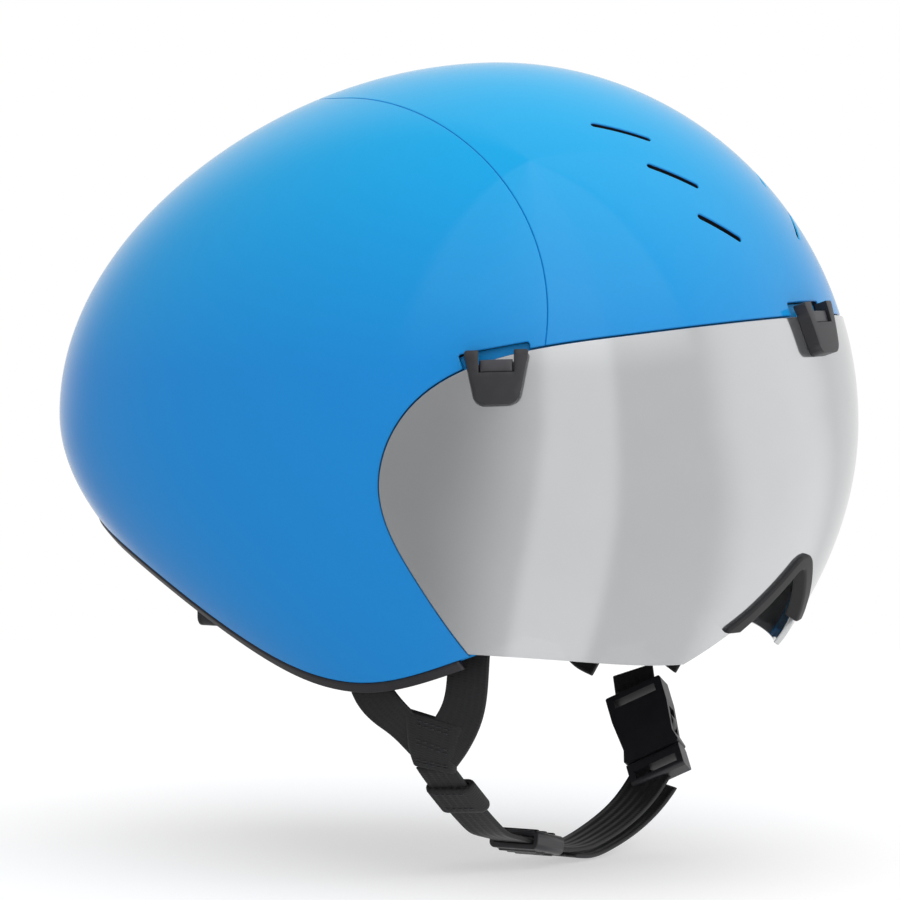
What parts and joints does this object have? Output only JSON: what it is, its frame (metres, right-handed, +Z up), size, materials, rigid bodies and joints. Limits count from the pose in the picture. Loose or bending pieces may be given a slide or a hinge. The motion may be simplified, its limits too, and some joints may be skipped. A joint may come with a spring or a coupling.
{
  "type": "aero time trial helmet",
  "caption": "Smooth rounded time trial helmet with a bonded shell, foam liner, magnetic wraparound visor, dial cradle and buckled chin strap.",
  "frame": {"origin": "on the crown's vertical axis, in the symmetry plane, at the level where the shell is widest", "axes": "+Z up towards the crown, -Y the way the wearer faces, +X the wearer's left"},
  "size_m": [0.212, 0.2855, 0.2646],
  "materials": {
    "shell_blue": "gloss painted polycarbonate",
    "seat_blue": "painted, in the shells' colour",
    "magnet_nickel": "nickel plated",
    "trim_black": "soft vinyl edge",
    "webbing_black": "woven polyester webbing",
    "moulded_black": "moulded nylon",
    "clip_inset": "moulded, finely textured",
    "foam_black": "expanded polystyrene beads",
    "pad_fabric": "knitted cover on foam",
    "dial_grey": "moulded, gripped edge",
    "dial_face": "polished",
    "gear_acetal": "natural acetal",
    "lens_grey": "silver tinted polycarbonate",
    "nose_rubber": "soft moulded"
  },
  "bodies": {
    "root": {"front_shell": "shell_blue", "rear_shell": "shell_blue", "visor_seat": "seat_blue", "seat_magnet_right": "magnet_nickel", "seat_magnet_centre": "magnet_nickel", "seat_magnet_left": "magnet_nickel", "lower_trim": "trim_black", "strap_right_front": "webbing_black", "strap_right_rear": "webbing_black", "strap_left_front": "webbing_black", "strap_left_rear": "webbing_black", "strap_anchors": "moulded_black", "cradle_pins": "moulded_black", "foam_liner_upper": "foam_black", "foam_liner_lower": "foam_black", "brow_pad": "pad_fabric", "crown_pad": "pad_fabric", "crown_side_pad_left": "pad_fabric", "crown_side_pad_right": "pad_fabric", "sewn_join": "webbing_black", "chin_webbing": "webbing_black", "webbing_tail": "webbing_black", "buckle_female": "moulded_black", "buckle_webbing": "webbing_black"},
    "visor": {"visor_lens": "lens_grey", "nose_seal": "nose_rubber", "clip_right": "moulded_black", "clip_tab_right": "clip_inset", "clip_magnet_right": "magnet_nickel", "clip_centre": "moulded_black", "clip_tab_centre": "clip_inset", "clip_magnet_centre": "magnet_nickel", "clip_left": "moulded_black", "clip_tab_left": "clip_inset", "clip_magnet_left": "magnet_nickel"},
    "cradle": {"cradle_arm_left": "moulded_black", "cradle_arm_right": "moulded_black", "dial_housing": "moulded_black", "housing_cover": "moulded_black"},
    "dial": {"fit_dial": "dial_grey", "dial_cap": "dial_face", "dial_pinion": "gear_acetal"},
    "wing_left": {"rack_left": "moulded_black", "wing_pad_left": "pad_fabric"},
    "wing_right": {"rack_right": "moulded_black", "wing_pad_right": "pad_fabric"},
    "keeper": {"strap_keeper": "moulded_black"},
    "slider": {"strap_slider": "moulded_black"},
    "buckle_end": {"buckle_male": "moulded_black", "buckle_prongs": "moulded_black"}
  },
  "joints": [
    {"name": "visor_release", "type": "slide", "parent": "root", "child": "visor", "axis": [0, -1, 0], "range_m": [0, 0.14]},
    {"name": "cradle_tilt", "type": "hinge", "parent": "root", "child": "cradle", "pos_m": [0, -0.01, -0.022], "axis": [1, 0, 0], "range_deg": [-12, 0]},
    {"name": "dial_turn", "type": "hinge", "parent": "cradle", "child": "dial", "pos_m": [0, 0.1, -0.062], "axis": [0, -1, 0], "range_deg": [0, 100]},
    {"name": "wing_left_slide", "type": "slide", "parent": "cradle", "child": "wing_left", "axis": [-1, 0, 0], "range_m": [0, 0.008]},
    {"name": "wing_right_slide", "type": "slide", "parent": "cradle", "child": "wing_right", "axis": [1, 0, 0], "range_m": [0, 0.008]},
    {"name": "keeper_slide", "type": "slide", "parent": "root", "child": "keeper", "axis": [0.7204, -0.1359, -0.6801], "range_m": [-0.007, 0.007]},
    {"name": "slider_slide", "type": "slide", "parent": "root", "child": "slider", "axis": [0.9629, -0.1316, -0.2357], "range_m": [-0.004, 0.004]},
    {"name": "buckle_release", "type": "slide", "parent": "root", "child": "buckle_end", "axis": [-0.4411, -0.5032, -0.7431], "range_m": [0, 0.021], "deforming": ["buckle_prongs", "chin_webbing", "webbing_tail"]}
  ],
  "couplings": [
    {"joint": "wing_left_slide", "follows": "dial_turn", "m_per_rad": 0.0045},
    {"joint": "wing_right_slide", "follows": "dial_turn", "m_per_rad": 0.0045}
  ]
}
